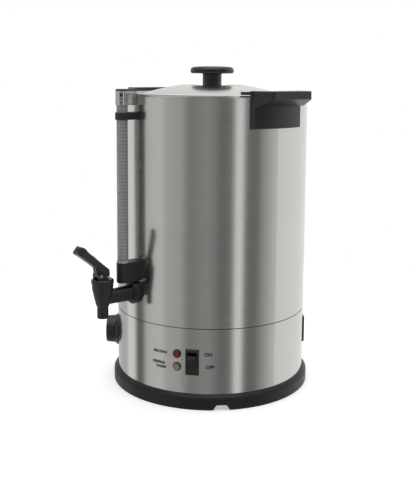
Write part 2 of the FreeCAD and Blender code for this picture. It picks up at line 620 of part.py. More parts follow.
# Tap: a flanged shank through the wall, a tapered bowl, a lifting stem and its lever
tap_axis, tap_level = size("tap_axis"), size("tap_height")
bowl = [(0, "spout_bottom"), ("spout_radius", "spout_bottom"), ("spout_radius", "spout_bottom + 17"),
        ("spout_radius + 1.6", "spout_bottom + 20"), ("bowl_radius - 2.6", "tap_height + 4"),
        ("bowl_radius - 0.6", "bowl_top - 10"), ("bowl_radius", "bowl_top - 2"),
        ("bowl_radius", "bowl_top"), (0, "bowl_top")]
bowl_face = Part.Face(Part.makePolygon([Vector(size(x), 0, size(z)) for x, z in bowl + bowl[:1]]))
bowl_solid = bowl_face.revolve(Vector(0, 0, 0), Vector(0, 0, 1), 360)
bowl_solid = rounded(bowl_solid, 6, lambda e: e.isClosed()
                     and size("tap_height") < middle(e).z < size("bowl_top - 9"))
bowl_solid = rounded(bowl_solid, 3, lambda e: e.isClosed()
                     and size("spout_bottom + 16") < middle(e).z < size("spout_bottom + 21"))
bowl_solid = rounded(bowl_solid, 0.8, lambda e: e.isClosed() and middle(e).z < size("spout_bottom + 0.1"))
bowl_solid.translate(Vector(tap_axis, 0, 0))
wall_face = size("body_radius") + 3.2
shank = Part.makeCone(size("shank_radius") + 1.2, size("shank_radius") - 0.4, tap_axis - 4 - wall_face,
                      Vector(wall_face, 0, tap_level), Vector(1, 0, 0))
thread = rod("thread_radius", "body_radius - 22", "body_radius + 4", "tap_height")
bore = rod("shank_bore", "body_radius - 30", f"{tap_axis - 9}", "tap_height + 1.8")
chamber = post("chamber_radius", "seat_height", "bowl_top + 1", tap_axis)
solid("tap_shank", shank.fuse(thread).cut(bowl_solid).cut(bore).removeSplitter(), "0")
tap = bowl_solid.cut(chamber).cut(bore)
tap = tap.cut(Part.makeCone(size("spout_bore"), size("chamber_radius"), 6,
                            Vector(tap_axis, 0, size("seat_height") - 6)))
tap = tap.cut(post("spout_bore", "spout_bottom - 1", "seat_height - 5", tap_axis))
solid("tap_body", tap.removeSplitter(), "0")
collar = Part.makeCylinder(size("collar_radius"), 3.4, Vector(wall_face, 0, tap_level), Vector(1, 0, 0))
collar = collar.fuse(Part.makeCylinder(size("collar_radius") - 2.6, 5.4, Vector(wall_face, 0, tap_level),
                                       Vector(1, 0, 0)))
collar = rounded(collar.removeSplitter(), 0.9, lambda e: middle(e).x > wall_face + 3.2)
collar = collar.cut(shank).cut(Part.makeCylinder(size("shank_radius") + 1.25, 8,
                                                 Vector(wall_face - 1, 0, tap_level), Vector(1, 0, 0)))
solid("tap_collar", collar, "0")
seal_out = Part.makeCylinder(size("collar_radius") - 0.6, 14, Vector(wall_face - 14, 0, tap_level),
                             Vector(1, 0, 0)).cut(wall_core)
seal_out = seal_out.cut(rod("thread_radius + 0.05", "body_radius - 50", "body_radius + 50", "tap_height"))
solid("tap_outer_seal", seal_out, "0")
inner_core = Part.makeCylinder(size(wall_inner) - 0.05, 600)
seal_face = size(wall_inner) - 5
seal_in = Part.makeCylinder(14, 12, Vector(seal_face, 0, tap_level), Vector(1, 0, 0)).common(inner_core)
seal_in = seal_in.cut(rod("thread_radius + 0.05", "body_radius - 50", "body_radius + 50", "tap_height"))
solid("tap_inner_seal", seal_in, "0")
hexagon = Part.Face(Part.makePolygon([Vector(0, 15 * math.cos(math.radians(a)), 15 * math.sin(math.radians(a)))
                                      for a in range(0, 361, 60)]))
hexagon = hexagon.extrude(Vector(7, 0, 0))
hexagon.translate(Vector(seal_face - 7, 0, tap_level))
hexagon = hexagon.cut(rod("thread_radius + 0.05", "body_radius - 50", "body_radius + 50", "tap_height"))
solid("tap_nut", hexagon, "0")

pivot_out, pivot_z = tap_axis + size("pivot_offset"), size("pivot_height")
bowl_top, bonnet_top = size("bowl_top"), size("bonnet_top")
bonnet = Part.makeCylinder(size("bowl_radius") + 0.7, bonnet_top - bowl_top, Vector(tap_axis, 0, bowl_top))
bonnet = rounded(bonnet, 3, lambda e: abs(middle(e).z - bonnet_top) < 0.01)
ear_outer = size("tongue_width") / 2 + size("ear_thickness")
ears = Part.Face(Part.makePolygon([
    Vector(tap_axis - 6.5, -ear_outer, bonnet_top - 1), Vector(tap_axis - 6, -ear_outer, bonnet_top + 0.2),
    Vector(pivot_out - 2.6, -ear_outer, pivot_z + 3.8), Vector(pivot_out, -ear_outer, pivot_z),
    Vector(pivot_out + 4.6, -ear_outer, pivot_z), Vector(pivot_out + 3.6, -ear_outer, bonnet_top - 1),
    Vector(tap_axis - 6.5, -ear_outer, bonnet_top - 1)])).extrude(Vector(0, 2 * ear_outer, 0))
ears = ears.fuse(Part.makeCylinder(4.6, 2 * ear_outer, Vector(pivot_out, -ear_outer, pivot_z), Vector(0, 1, 0)))
ear_gap = size("tongue_width") / 2
bonnet = bonnet.fuse(ears).removeSplitter()
bonnet = bonnet.cut(block(tap_axis - 20, pivot_out + 10, -ear_gap, ear_gap, bonnet_top, pivot_z + 20))
bonnet = bonnet.cut(block(tap_axis - 2.5, pivot_out + 5.5, -ear_gap, ear_gap, bonnet_top - 1.2, pivot_z + 20))
skirt = post("chamber_radius - 0.1", "bowl_top - 5", "bowl_top", tap_axis).cut(
    post("chamber_radius - 2.4", "bowl_top - 6", "bowl_top + 1", tap_axis))
bonnet = bonnet.fuse(skirt).removeSplitter()
bonnet = bonnet.cut(post("stem_radius + 0.08", "bowl_top - 10", "pivot_height + 10", tap_axis))
bonnet = bonnet.cut(Part.makeCylinder(size("pivot_radius") + 0.05, 60, Vector(pivot_out, -30, pivot_z),
                                      Vector(0, 1, 0)))
solid("tap_bonnet", bonnet, "0")

pin_z = pivot_z + 1.8
stem_top = pin_z + 1.9
cup_top = size("seat_height") + 4
stem = post("stem_radius", f"{cup_top - 3}", f"{stem_top}", tap_axis)
stem = stem.fuse(Part.makeCylinder(6, 1.4, Vector(tap_axis, 0, cup_top)))
stem = rounded(stem.removeSplitter(), 0.8, lambda e: abs(middle(e).z - stem_top) < 0.01)
stem = stem.fuse(Part.makeCylinder(1.5, 9.2, Vector(tap_axis, -4.6, pin_z), Vector(0, 1, 0)))
solid("tap_stem", stem.removeSplitter(), "0")
cup = Part.makeCone(size("spout_bore") + 0.6, size("chamber_radius") - 2.2, 4, Vector(tap_axis, 0, cup_top - 4))
cup = cup.cut(Part.makeCylinder(size("stem_radius") + 0.02, 10, Vector(tap_axis, 0, cup_top - 3)))
solid("tap_seat_cup", cup, "0")
spring_low, spring_high = cup_top + 1.4, bowl_top
wire, turns = 0.6, 5
coil_height = spring_high - spring_low - 2 * wire
helix = Part.makeHelix(coil_height / turns, coil_height, 4.6)
spring_wire = Part.Wire(helix.Edges)
start = spring_wire.Vertexes[0].Point
ring_edge = Part.Edge(Part.Circle(start, Vector(0, 1, 0.2), wire))
spring = spring_wire.makePipeShell([Part.Wire([ring_edge])], True, True)
spring.translate(Vector(tap_axis, 0, spring_low + wire))
solid("tap_spring", spring, "0")


# Tap lever: a thick dished paddle on a forked tongue that lifts the stem by its cross pin
def lever_shape():
    length, tip_r = size("paddle_length"), size("paddle_width") / 2
    root_r, back = tip_r - 2, -8
    low, high = size("paddle_root_thickness") / 2, size("paddle_tip_thickness") / 2
    side = Part.Wire([
        Part.LineSegment(Vector(back, 0, -low), Vector(length * 0.4, 0, -low)).toShape(),
        Part.Arc(Vector(length * 0.4, 0, -low), Vector(length * 0.66, 0, -low - 0.3),
                 Vector(length - high, 0, -high)).toShape(),
        Part.Arc(Vector(length - high, 0, -high), Vector(length, 0, 0), Vector(length - high, 0, high)).toShape(),
        Part.Arc(Vector(length - high, 0, high), Vector(length * 0.5, 0, low + 0.2),
                 Vector(back + 3, 0, low)).toShape(),
        Part.Arc(Vector(back + 3, 0, low), Vector(back + 0.7, 0, low * 0.6), Vector(back, 0, 0)).toShape(),
        Part.LineSegment(Vector(back, 0, 0), Vector(back, 0, -low)).toShape()])
    club = Part.Face(side).extrude(Vector(0, 2 * tip_r + 4, 0))
    club.translate(Vector(0, -tip_r - 2, 0))
    plan = Part.Wire([
        Part.LineSegment(Vector(back - 2, -root_r, 0), Vector(length * 0.35, -root_r, 0)).toShape(),
        Part.LineSegment(Vector(length * 0.35, -root_r, 0), Vector(length - tip_r, -tip_r, 0)).toShape(),
        Part.Arc(Vector(length - tip_r, -tip_r, 0), Vector(length, 0, 0),
                 Vector(length - tip_r, tip_r, 0)).toShape(),
        Part.LineSegment(Vector(length - tip_r, tip_r, 0), Vector(length * 0.35, root_r, 0)).toShape(),
        Part.LineSegment(Vector(length * 0.35, root_r, 0), Vector(back - 2, root_r, 0)).toShape(),
        Part.LineSegment(Vector(back - 2, root_r, 0), Vector(back - 2, -root_r, 0)).toShape()])
    outline = Part.Face(plan).extrude(Vector(0, 0, 4 * high))
    outline.translate(Vector(0, 0, -2 * high))
    paddle = club.common(outline)
    paddle = paddle.cut(Part.makeSphere(44, Vector(length - 19, 0, high + 44 - 2.2)))
    paddle.Placement = FreeCAD.Placement(Vector(tap_axis, 0, size("paddle_height")),
                                         FreeCAD.Rotation(Vector(0, 1, 0), -size("paddle_angle")))
    half = size("tongue_width") / 2 - 0.3
    hub = Part.makeCylinder(4.4, 2 * half, Vector(pivot_out, -half, pivot_z), Vector(0, 1, 0))
    stalk = Part.Face(Part.makePolygon([
        Vector(pivot_out - 4.2, -half, pivot_z), Vector(pivot_out + 4.2, -half, pivot_z),
        Vector(pivot_out + 7, -half, pivot_z + 13.4), Vector(pivot_out - 2.6, -half, pivot_z + 8.5),
        Vector(pivot_out - 4.2, -half, pivot_z)])).extrude(Vector(0, 2 * half, 0))
    heel = Part.Face(Part.makePolygon([
        Vector(tap_axis - 9.4, -half, pivot_z - 2.6), Vector(tap_axis - 5, -half, pivot_z - 2.6),
        Vector(tap_axis - 5, -half, pivot_z + 4), Vector(tap_axis - 8.4, -half, pivot_z + 4.6),
        Vector(tap_axis - 9.8, -half, pivot_z + 3.2),
        Vector(tap_axis - 9.4, -half, pivot_z - 2.6)])).extrude(Vector(0, 2 * half, 0))
    fork = block(tap_axis - 6, pivot_out, -half, half, pivot_z - 2.6, pivot_z)
    fork = fork.cut(block(tap_axis - 5, tap_axis + 4, -size("stem_radius") - 0.4,
                          size("stem_radius") + 0.4, pivot_z - 6, pivot_z + 6))
    lever = paddle.fuse(hub).fuse(stalk).fuse(heel)
    well = Part.makeCylinder(5.6, 9, Vector(tap_axis + 0.4, 0, stem_top - 8))
    lever = lever.cut(well).fuse(fork)
    lever = lever.cut(Part.makeCylinder(size("pivot_radius") + 0.06, 60, Vector(pivot_out, -30, pivot_z),
                                        Vector(0, 1, 0)))
    return lever.removeSplitter()


solid("tap_lever", lever_shape(), "0")
solid("tap_pivot_pin", Part.makeCylinder(size("pivot_radius"), 2 * ear_outer,
                                         Vector(pivot_out, -ear_outer, pivot_z), Vector(0, 1, 0)), "0")

# Thermostat: a body behind the wall, a fixed bezel outside and a ribbed knob on its shaft
dial_level = size("thermostat_height")
housing_core = Part.makeCylinder(size(lower_radius) + 0.05, 300)
front = size("bezel_front")
bezel = Part.makeCone(size("bezel_radius"), size("dial_radius") + 0.9, 6.4,
                      Vector(front - 6.4, 0, dial_level), Vector(1, 0, 0)).cut(housing_core)
bezel = bezel.cut(rod("6.2", "body_radius - 30", "body_radius + 30", "thermostat_height"))
solid("thermostat_bezel", bezel, "thermostat_azimuth")
dial_back = front + 0.3
dial_front = dial_back + size("dial_depth")
dial_r = size("dial_radius")
dial = Part.makeCone(dial_r, dial_r - 1.2, size("dial_depth"), Vector(dial_back, 0, dial_level), Vector(1, 0, 0))
dial = rounded(dial, 1.6, lambda e: middle(e).x > dial_front - 0.1)
for flute in range(24):
    angle = math.radians(15 * flute)
    groove = Part.makeCylinder(1.3, 20, Vector(dial_back + 3.4, (dial_r + 0.3) * math.cos(angle),
                                               dial_level + (dial_r + 0.3) * math.sin(angle)), Vector(1, 0, 0))
    dial = dial.cut(groove)
dial = dial.cut(block(dial_front - 1, dial_front + 1, -0.8, 0.8, dial_level + 8, dial_level + 19))
dial = dial.fuse(rod("5.9", f"{dial_back - 4.5}", f"{dial_back + 1}", "thermostat_height"))
dial = dial.cut(rod("shaft_radius + 0.02", "body_radius - 30", f"{dial_back + 9}", "thermostat_height"))
solid("thermostat_knob", dial.removeSplitter(), "thermostat_azimuth")
solid("thermostat_shaft", rod("shaft_radius", "body_radius - 28", f"{dial_back + 8.8}", "thermostat_height"),
      "thermostat_azimuth")
wall_x = size("body_radius")
stat = block(wall_x - 42, wall_x - 8, -17, 17, dial_level - 20, dial_level + 20)
stat = rounded(stat, 2, lambda e: abs(e.Vertexes[0].X - e.Vertexes[-1].X) > 10)
stat = stat.fuse(rod("5", "body_radius - 10", "body_radius - 0.6", "thermostat_height"))
stat = stat.cut(rod("shaft_radius + 0.06", "body_radius - 28.3", "body_radius + 10", "thermostat_height"))
solid("thermostat_body", stat.removeSplitter(), "thermostat_azimuth")

# Mains switch: a framed housing with a rocker that tilts in it
wide, tall, level = size("switch_width") / 2, size("switch_length") / 2, size("switch_height")
frame_front = size("switch_front")
frame_back = block(wall_x - 10, frame_front, -wide, wide, level - tall, level + tall).cut(housing_core)
frame_back = rounded(frame_back, 0.7, lambda e: abs(middle(e).x - frame_front) < 0.01)
insert = block(wall_x - 26, wall_x + 0.4, -wide + 1.5, wide - 1.5, level - tall + 1.8, level + tall - 1.8)
housing_switch = frame_back.fuse(insert)
rock_w, rock_l = size("rocker_width") / 2, size("rocker_length") / 2
housing_switch = housing_switch.cut(block(wall_x - 18, wall_x + 20, -rock_w - 0.4, rock_w + 0.4,
                                          level - rock_l - 1.8, level + rock_l + 1.8))
for tab in (-9, 0, 9):
    housing_switch = housing_switch.fuse(block(wall_x - 36, wall_x - 25, -3.1, 3.1, level + tab - 0.4, level + tab + 0.4))
rocker_axis = frame_front - 7
housing_switch = housing_switch.cut(Part.makeCylinder(1.55, 60, Vector(rocker_axis, -30, level), Vector(0, 1, 0)))
housing_switch = housing_switch.removeSplitter()
solid("switch_housing", housing_switch, "switch_azimuth")
tilt = 9.0
face_top = frame_front + 2.4
rocker_side = Part.Wire([
    Part.LineSegment(Vector(rocker_axis - 4, 0, level - 8), Vector(face_top, 0, level - rock_l)).toShape(),
    Part.Arc(Vector(face_top, 0, level - rock_l), Vector(face_top - 1.7, 0, level),
             Vector(face_top, 0, level + rock_l)).toShape(),
    Part.LineSegment(Vector(face_top, 0, level + rock_l), Vector(rocker_axis - 4, 0, level + 8)).toShape(),
    Part.LineSegment(Vector(rocker_axis - 4, 0, level + 8), Vector(rocker_axis - 4, 0, level - 8)).toShape()])
rocker = Part.Face(rocker_side).extrude(Vector(0, 2 * rock_w, 0))
rocker.translate(Vector(0, -rock_w, 0))
rocker = rocker.fuse(Part.makeCylinder(1.5, 2 * rock_w + 3.4, Vector(rocker_axis, -rock_w - 1.7, level),
                                       Vector(0, 1, 0)))
rocker.rotate(Vector(rocker_axis, 0, level), Vector(0, 1, 0), tilt)
solid("switch_rocker", rocker.removeSplitter(), "switch_azimuth")


# Pilot lamps: a coloured lens in a dark holder, one over the other
def lamp(name, height):
    level = size(height)
    rim = Part.makeCylinder(size("lamp_radius"), 8, Vector(size(lower_radius) + 1.6 - 8, 0, level), Vector(1, 0, 0))
    rim = rim.cut(housing_core)
    rim = rounded(rim, 0.6, lambda e: middle(e).x > size(lower_radius) + 1.5)
    barrel = rod("lens_radius - 0.5", "body_radius - 20", "body_radius", height)
    holder = rim.fuse(barrel).cut(rod("lens_radius - 1.3", "body_radius - 16", "body_radius + 20", height))
    for side in (-2.5, 2.5):
        holder = holder.fuse(block(wall_x - 28, wall_x - 19, side - 0.4, side + 0.4, level - 1.4, level + 1.4))
    solid(f"{name}_lamp_holder", holder.removeSplitter(), "lamp_azimuth")
    lens = rod("lens_radius - 1.35", "body_radius - 15", f"{size(lower_radius) + 1.6}", height)
    head = Part.makeCylinder(size("lens_radius"), 1.6, Vector(size(lower_radius) + 1.6, 0, level), Vector(1, 0, 0))
    head = rounded(head, 1.2, lambda e: middle(e).x > size(lower_radius) + 3.1)
    solid(f"{name}_lamp_lens", lens.fuse(head).removeSplitter(), "lamp_azimuth")


lamp("heating", "upper_lamp_height")
lamp("warming", "lower_lamp_height")

# Appliance inlet: a flanged socket with three flat pins and two screws
half, tall, level = size("inlet_width") / 2, size("inlet_length") / 2, size("inlet_height")
front = size("inlet_front")
flange = block(wall_x - 10, front, -half, half, level - tall, level + tall).cut(housing_core)
flange = rounded(flange, 0.8, lambda e: abs(middle(e).x - front) < 0.01)
shell = block(wall_x - 26, wall_x + 0.2, -half + 2.8, half - 2.8, level - tall + 8.4, level + tall - 8.4)
socket = block(wall_x - 22, wall_x + 10, -half + 4.6, half - 4.6, level - tall + 10.4, level + tall - 10.4)
inlet = flange.fuse(shell).cut(socket)
for side in (-1, 1):
    inlet = inlet.cut(rod("1.6", "body_radius - 30", "body_radius + 10", f"{level + side * (tall - 4.4)}"))
for y, z in ((-6, -3), (6, -3), (0, 4)):
    inlet = inlet.cut(block(wall_x - 30, wall_x - 20, y - 1.05, y + 1.05, level + z - 2.05, level + z + 2.05))
solid("power_inlet", inlet.removeSplitter(), "inlet_azimuth")
pins = [block(wall_x - 34, wall_x - 8, y - 1, y + 1, level + z - 2, level + z + 2) for y, z in ((-6, -3), (6, -3), (0, 4))]
solid("inlet_pins", Part.makeCompound(pins), "inlet_azimuth")
inlet_screws = []
for side in (-1, 1):
    screw = plain_screw(1.55, 9, 2.9, 1.6)
    screw.rotate(Vector(0, 0, 0), Vector(0, 0, 1), 180)
    screw.translate(Vector(front, 0, level + side * (tall - 4.4)))
    inlet_screws.append(screw)
solid("inlet_screws", Part.makeCompound(inlet_screws), "inlet_azimuth")

doc.recompute()
for item in doc.Objects:
    if "Invalid" in item.State or "Error" in item.State:
        raise ValueError(f"{item.Label} did not build: {item.State}")
for node in nodes:
    if node.Shape.isNull() or not node.Shape.isValid() or not node.Shape.Solids:
        raise ValueError(f"{node.Label} has no sound solid")
os.makedirs("parts", exist_ok=True)
for node in nodes:
    node.Shape.exportStep(os.path.join("parts", node.Label + ".step"))
print(len(nodes), "pieces,", sum(len(n.Shape.Solids) for n in nodes), "solids")
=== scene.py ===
"""Looks, light and camera for the hot water urn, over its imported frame."""

import math

import bpy
from mathutils import Matrix, Vector


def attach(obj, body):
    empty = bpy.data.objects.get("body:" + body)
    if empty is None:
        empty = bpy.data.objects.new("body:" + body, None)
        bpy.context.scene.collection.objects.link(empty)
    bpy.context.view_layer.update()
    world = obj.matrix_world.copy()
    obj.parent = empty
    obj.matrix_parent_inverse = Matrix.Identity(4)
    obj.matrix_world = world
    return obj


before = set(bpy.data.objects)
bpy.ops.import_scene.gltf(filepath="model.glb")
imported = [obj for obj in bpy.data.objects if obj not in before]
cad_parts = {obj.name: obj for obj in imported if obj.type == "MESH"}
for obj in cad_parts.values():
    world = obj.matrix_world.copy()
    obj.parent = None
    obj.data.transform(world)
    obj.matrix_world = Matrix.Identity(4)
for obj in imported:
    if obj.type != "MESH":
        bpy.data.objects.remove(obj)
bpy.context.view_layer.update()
scene = bpy.context.scene

# Sizes shared with the construction, in metres
BODY_RADIUS = 0.150
HOUSING_RADIUS = 0.1496
SEAM_HEIGHT = 0.121
THERMOSTAT_AZIMUTH = -40.0
DIAL_HEIGHT = 0.0736

# A radius between the two faces of the steel walls
INNER_SKIN = 0.1492


def around(azimuth, radius, height):
    """The point at an azimuth from the tap, a radius and a height."""
    a = math.radians(azimuth)
    return Vector((radius * math.sin(a), -radius * math.cos(a), height))


# Materials
class Graph:
    """A material's node tree, with short calls for its nodes."""

    def __init__(self, name):
        self.material = bpy.data.materials.new(name)
        self.material.use_nodes = True
        self.tree = self.material.node_tree
        self.shader = self.tree.nodes["Principled BSDF"]
        self.place = self.node("ShaderNodeTexCoord").outputs["Object"]

    def node(self, kind, **values):
        made = self.tree.nodes.new(kind)
        for key, value in values.items():
            setattr(made, key, value)
        return made

    def link(self, output, socket):
        self.tree.links.new(output, socket)

    def put(self, **values):
        for key, value in values.items():
            self.shader.inputs[key.replace("_", " ")].default_value = value

    def mapped(self, scale, source=None):
        node = self.node("ShaderNodeMapping")
        self.link(source or self.place, node.inputs["Vector"])
        node.inputs["Scale"].default_value = scale
        return node.outputs["Vector"]

    def noise(self, scale, detail=4.0, rough=0.55, stretch=None, source=None):
        node = self.node("ShaderNodeTexNoise")
        vector = self.mapped(stretch, source) if stretch else (source or self.place)
        self.link(vector, node.inputs["Vector"])
        node.inputs["Scale"].default_value = scale
        node.inputs["Detail"].default_value = detail
        node.inputs["Roughness"].default_value = rough
        return node.outputs["Fac"]

    def voronoi(self, scale, source=None):
        node = self.node("ShaderNodeTexVoronoi")
        self.link(source or self.place, node.inputs["Vector"])
        node.inputs["Scale"].default_value = scale
        return node.outputs["Distance"]

    def span(self, source, low, high, start=0.3, stop=0.7):
        node = self.node("ShaderNodeMapRange")
        self.link(source, node.inputs["Value"])
        for key, value in (("From Min", start), ("From Max", stop), ("To Min", low), ("To Max", high)):
            node.inputs[key].default_value = value
        return node.outputs["Result"]

    def math(self, operation, a, b=None):
        node = self.node("ShaderNodeMath", operation=operation)
        for index, value in enumerate((a, b)):
            if value is None:
                continue
            if isinstance(value, (int, float)):
                node.inputs[index].default_value = value
            else:
                self.link(value, node.inputs[index])
        return node.outputs["Value"]

    def mix(self, factor, a, b, blend="MIX"):
        node = self.node("ShaderNodeMix", data_type="RGBA", blend_type=blend)
        self.link(factor, node.inputs["Factor"])
        for key, value in ((6, a), (7, b)):
            if isinstance(value, tuple):
                node.inputs[key].default_value = (*value, 1.0)
            else:
                self.link(value, node.inputs[key])
        return node.outputs[2]

    def bump(self, height, distance, strength=1.0, under=None):
        node = self.node("ShaderNodeBump")
        self.link(height, node.inputs["Height"])
        node.inputs["Distance"].default_value = distance
        node.inputs["Strength"].default_value = strength
        if under is not None:
            self.link(under, node.inputs["Normal"])
        return node.outputs["Normal"]

    def wear(self, low, high):
        """A mask of raised edges, from the shape's own curvature."""
        node = self.node("ShaderNodeNewGeometry")
        return self.span(node.outputs["Pointiness"], 0.0, 1.0, low, high)


# Brush lines: how close they lie across the brushing, and how fast they change along it
LINE_DENSITY, LINE_DRIFT = 2600.0, 6.0


def brushed_steel(name, colour, roughness, flat=False, strength=0.12, anisotropy=0.6):
    """Steel brushed round the urn's axis: rings on a flat face, level lines on a wall."""
    g = Graph(name)
    split = g.node("ShaderNodeSeparateXYZ")
    g.link(g.place, split.inputs["Vector"])
    x, y, z = (split.outputs[k] for k in "XYZ")
    from_axis = g.math("SQRT", g.math("ADD", g.math("MULTIPLY", x, x), g.math("MULTIPLY", y, y)))
    across = from_axis if flat else z
    lines = g.node("ShaderNodeCombineXYZ")
    for key, value, scale in (("X", x, LINE_DRIFT), ("Y", y, LINE_DRIFT), ("Z", across, LINE_DENSITY)):
        g.link(g.math("MULTIPLY", value, scale), lines.inputs[key])
    streaks = g.noise(1.0, 3.0, 0.6, source=lines.outputs["Vector"])
    coarse = g.noise(0.22, 2.0, 0.5, source=lines.outputs["Vector"])
    clouds = g.noise(9.0, 3.0, 0.5)
    dark = tuple(c * 0.92 for c in colour)
    light = tuple(min(1.0, c * 1.06) for c in colour)
    base = g.mix(g.span(streaks, 0.0, 1.0, 0.25, 0.75), dark, light)
    base = g.mix(g.span(clouds, 0.0, 0.2, 0.35, 0.7), base, tuple(c * 0.92 for c in colour))
    g.link(base, g.shader.inputs["Base Color"])
    rough = g.math("ADD", g.span(streaks, roughness * 0.85, roughness * 1.25),
                   g.span(coarse, -0.008, 0.012))
    g.link(rough, g.shader.inputs["Roughness"])
    g.put(Metallic=1.0, Anisotropic=anisotropy)
    if not flat:
        outside = g.math("GREATER_THAN", from_axis, INNER_SKIN)
        g.link(g.span(outside, 0.55, 1.0, 0.0, 1.0), g.shader.inputs["Metallic"])
    tangent = g.node("ShaderNodeTangent", direction_type="RADIAL", axis="Z")
    g.link(tangent.outputs["Tangent"], g.shader.inputs["Tangent"])
    fine = g.bump(streaks, 0.00002, strength)
    g.link(g.bump(g.noise(5.0, 1.0, 0.4), 0.0003, 0.05, fine), g.shader.inputs["Normal"])
    return g.material


def plain_metal(name, colour, roughness, grain=600.0):
    """Plain metal with a fine grain and broad, faint clouds."""
    g = Graph(name)
    spots = g.noise(grain, 4.0, 0.6)
    broad = g.noise(60.0, 3.0, 0.5)
    base = g.mix(g.span(broad, 0.0, 1.0), tuple(c * 0.82 for c in colour), colour)
    g.link(base, g.shader.inputs["Base Color"])
    g.link(g.span(spots, roughness * 0.8, roughness * 1.3), g.shader.inputs["Roughness"])
    g.put(Metallic=1.0)
    g.link(g.bump(spots, 0.00003, 0.4), g.shader.inputs["Normal"])
    return g.material


def moulded(name, colour, roughness, grain=0.35, specular=0.5, scuff=0.06, edge=0.0009):
    """Moulded plastic: a fine spark-eroded grain, faint swirls and paler worn edges."""
    g = Graph(name)
    fine = g.noise(1900.0, 2.0, 0.5)
    swirl = g.noise(55.0, 5.0, 0.6)
    base = g.mix(g.span(swirl, 0.0, 1.0), tuple(c * 0.8 for c in colour), tuple(c * 1.25 for c in colour))
    edges = g.math("MULTIPLY", g.wear(0.52, 0.62), scuff)
    base = g.mix(edges, base, tuple(min(1.0, c * 3.0 + 0.05) for c in colour))
    g.link(base, g.shader.inputs["Base Color"])
    g.link(g.span(swirl, roughness * 0.88, roughness * 1.15), g.shader.inputs["Roughness"])
    g.shader.inputs["Specular IOR Level"].default_value = specular
    soft = g.node("ShaderNodeBevel", samples=6)
    soft.inputs["Radius"].default_value = edge
    g.link(g.bump(fine, 0.00003, grain, g.bump(swirl, 0.0002, 0.06, soft.outputs["Normal"])),
           g.shader.inputs["Normal"])
    return g.material


def rubber(name, colour):
    """Dull rubber with a fine grain."""
    g = Graph(name)
    fine = g.noise(900.0, 3.0, 0.6)
    base = g.mix(g.span(g.noise(70.0), 0.0, 1.0), tuple(c * 0.8 for c in colour), colour)
    g.link(base, g.shader.inputs["Base Color"])
    g.link(g.span(fine, 0.55, 0.75), g.shader.inputs["Roughness"])
    g.link(g.bump(fine, 0.00005, 0.4), g.shader.inputs["Normal"])
    return g.material


# The gauge's scale: the spacing of its lines, the share of it that is line, and where lines start
TICK_SPACING, TICK_SHARE, TICK_START = 0.005, 0.28, 0.0008


def gauge_glass(name):
    """A smoke-grey clear tube with a fine moulded scale up its side."""
    g = Graph(name)
    split = g.node("ShaderNodeSeparateXYZ")
    g.link(g.place, split.inputs["Vector"])
    haze = g.noise(130.0, 4.0, 0.6, stretch=(1.0, 1.0, 0.15))
    step = g.math("FRACT", g.math("MULTIPLY", split.outputs["Z"], 1 / TICK_SPACING))
    stroke = g.math("LESS_THAN", step, TICK_SHARE)
    tick = g.math("MULTIPLY", stroke, g.math("GREATER_THAN", split.outputs["X"], TICK_START))
    base = g.mix(g.span(haze, 0.0, 1.0), (0.46, 0.465, 0.46), (0.56, 0.565, 0.56))
    base = g.mix(g.math("MULTIPLY", tick, 0.35), base, (0.16, 0.16, 0.16))
    g.link(base, g.shader.inputs["Base Color"])
    g.link(g.span(haze, 0.16, 0.30), g.shader.inputs["Roughness"])
    g.put(Transmission_Weight=0.55, IOR=1.45)
    g.link(g.bump(haze, 0.0002, 0.15, g.bump(tick, 0.0002, 0.3)), g.shader.inputs["Normal"])
    return g.material


def lens(name, deep, bright):
    """An unlit lamp lens with small facets."""
    g = Graph(name)
    facets = g.voronoi(700.0)
    g.link(g.mix(g.span(facets, 0.0, 1.0, 0.0, 0.6), deep, bright), g.shader.inputs["Base Color"])
    g.link(g.span(g.noise(300.0), 0.10, 0.22), g.shader.inputs["Roughness"])
    g.put(Transmission_Weight=0.35, IOR=1.49)
    g.link(g.bump(facets, 0.0002, 0.5), g.shader.inputs["Normal"])
    return g.material


def printed(name, colour):
    """Printed ink, a little uneven."""
    g = Graph(name)
    ink = g.noise(1500.0, 3.0, 0.6)
    g.link(g.mix(g.span(ink, 0.0, 1.0), colour, tuple(min(1.0, c * 1.5 + 0.02) for c in colour)),
           g.shader.inputs["Base Color"])
    g.link(g.span(ink, 0.45, 0.65), g.shader.inputs["Roughness"])
    return g.material


STEEL = (0.62, 0.612, 0.592)
wall_steel = brushed_steel("wall_steel", STEEL, 0.15)
lid_steel = brushed_steel("lid_steel", STEEL, 0.24, flat=True)
inner_steel = brushed_steel("inner_steel", (0.52, 0.51, 0.50), 0.34, anisotropy=0.4)
polished = plain_metal("polished_steel", (0.66, 0.65, 0.64), 0.12, 300.0)
zinc = plain_metal("zinc_steel", (0.55, 0.55, 0.53), 0.32)
cast = plain_metal("cast_aluminium", (0.55, 0.55, 0.55), 0.50, 400.0)
brass = plain_metal("brass", (0.72, 0.52, 0.22), 0.28)
black = moulded("black_phenolic", (0.012, 0.012, 0.013), 0.34)
base_black = moulded("base_black", (0.009, 0.009, 0.010), 0.42, 0.5, specular=0.3)
gloss_black = moulded("gloss_black", (0.010, 0.010, 0.011), 0.16, 0.05)
seal_grey = rubber("silicone_grey", (0.45, 0.45, 0.44))
seal_black = rubber("rubber_black", (0.016, 0.016, 0.017))

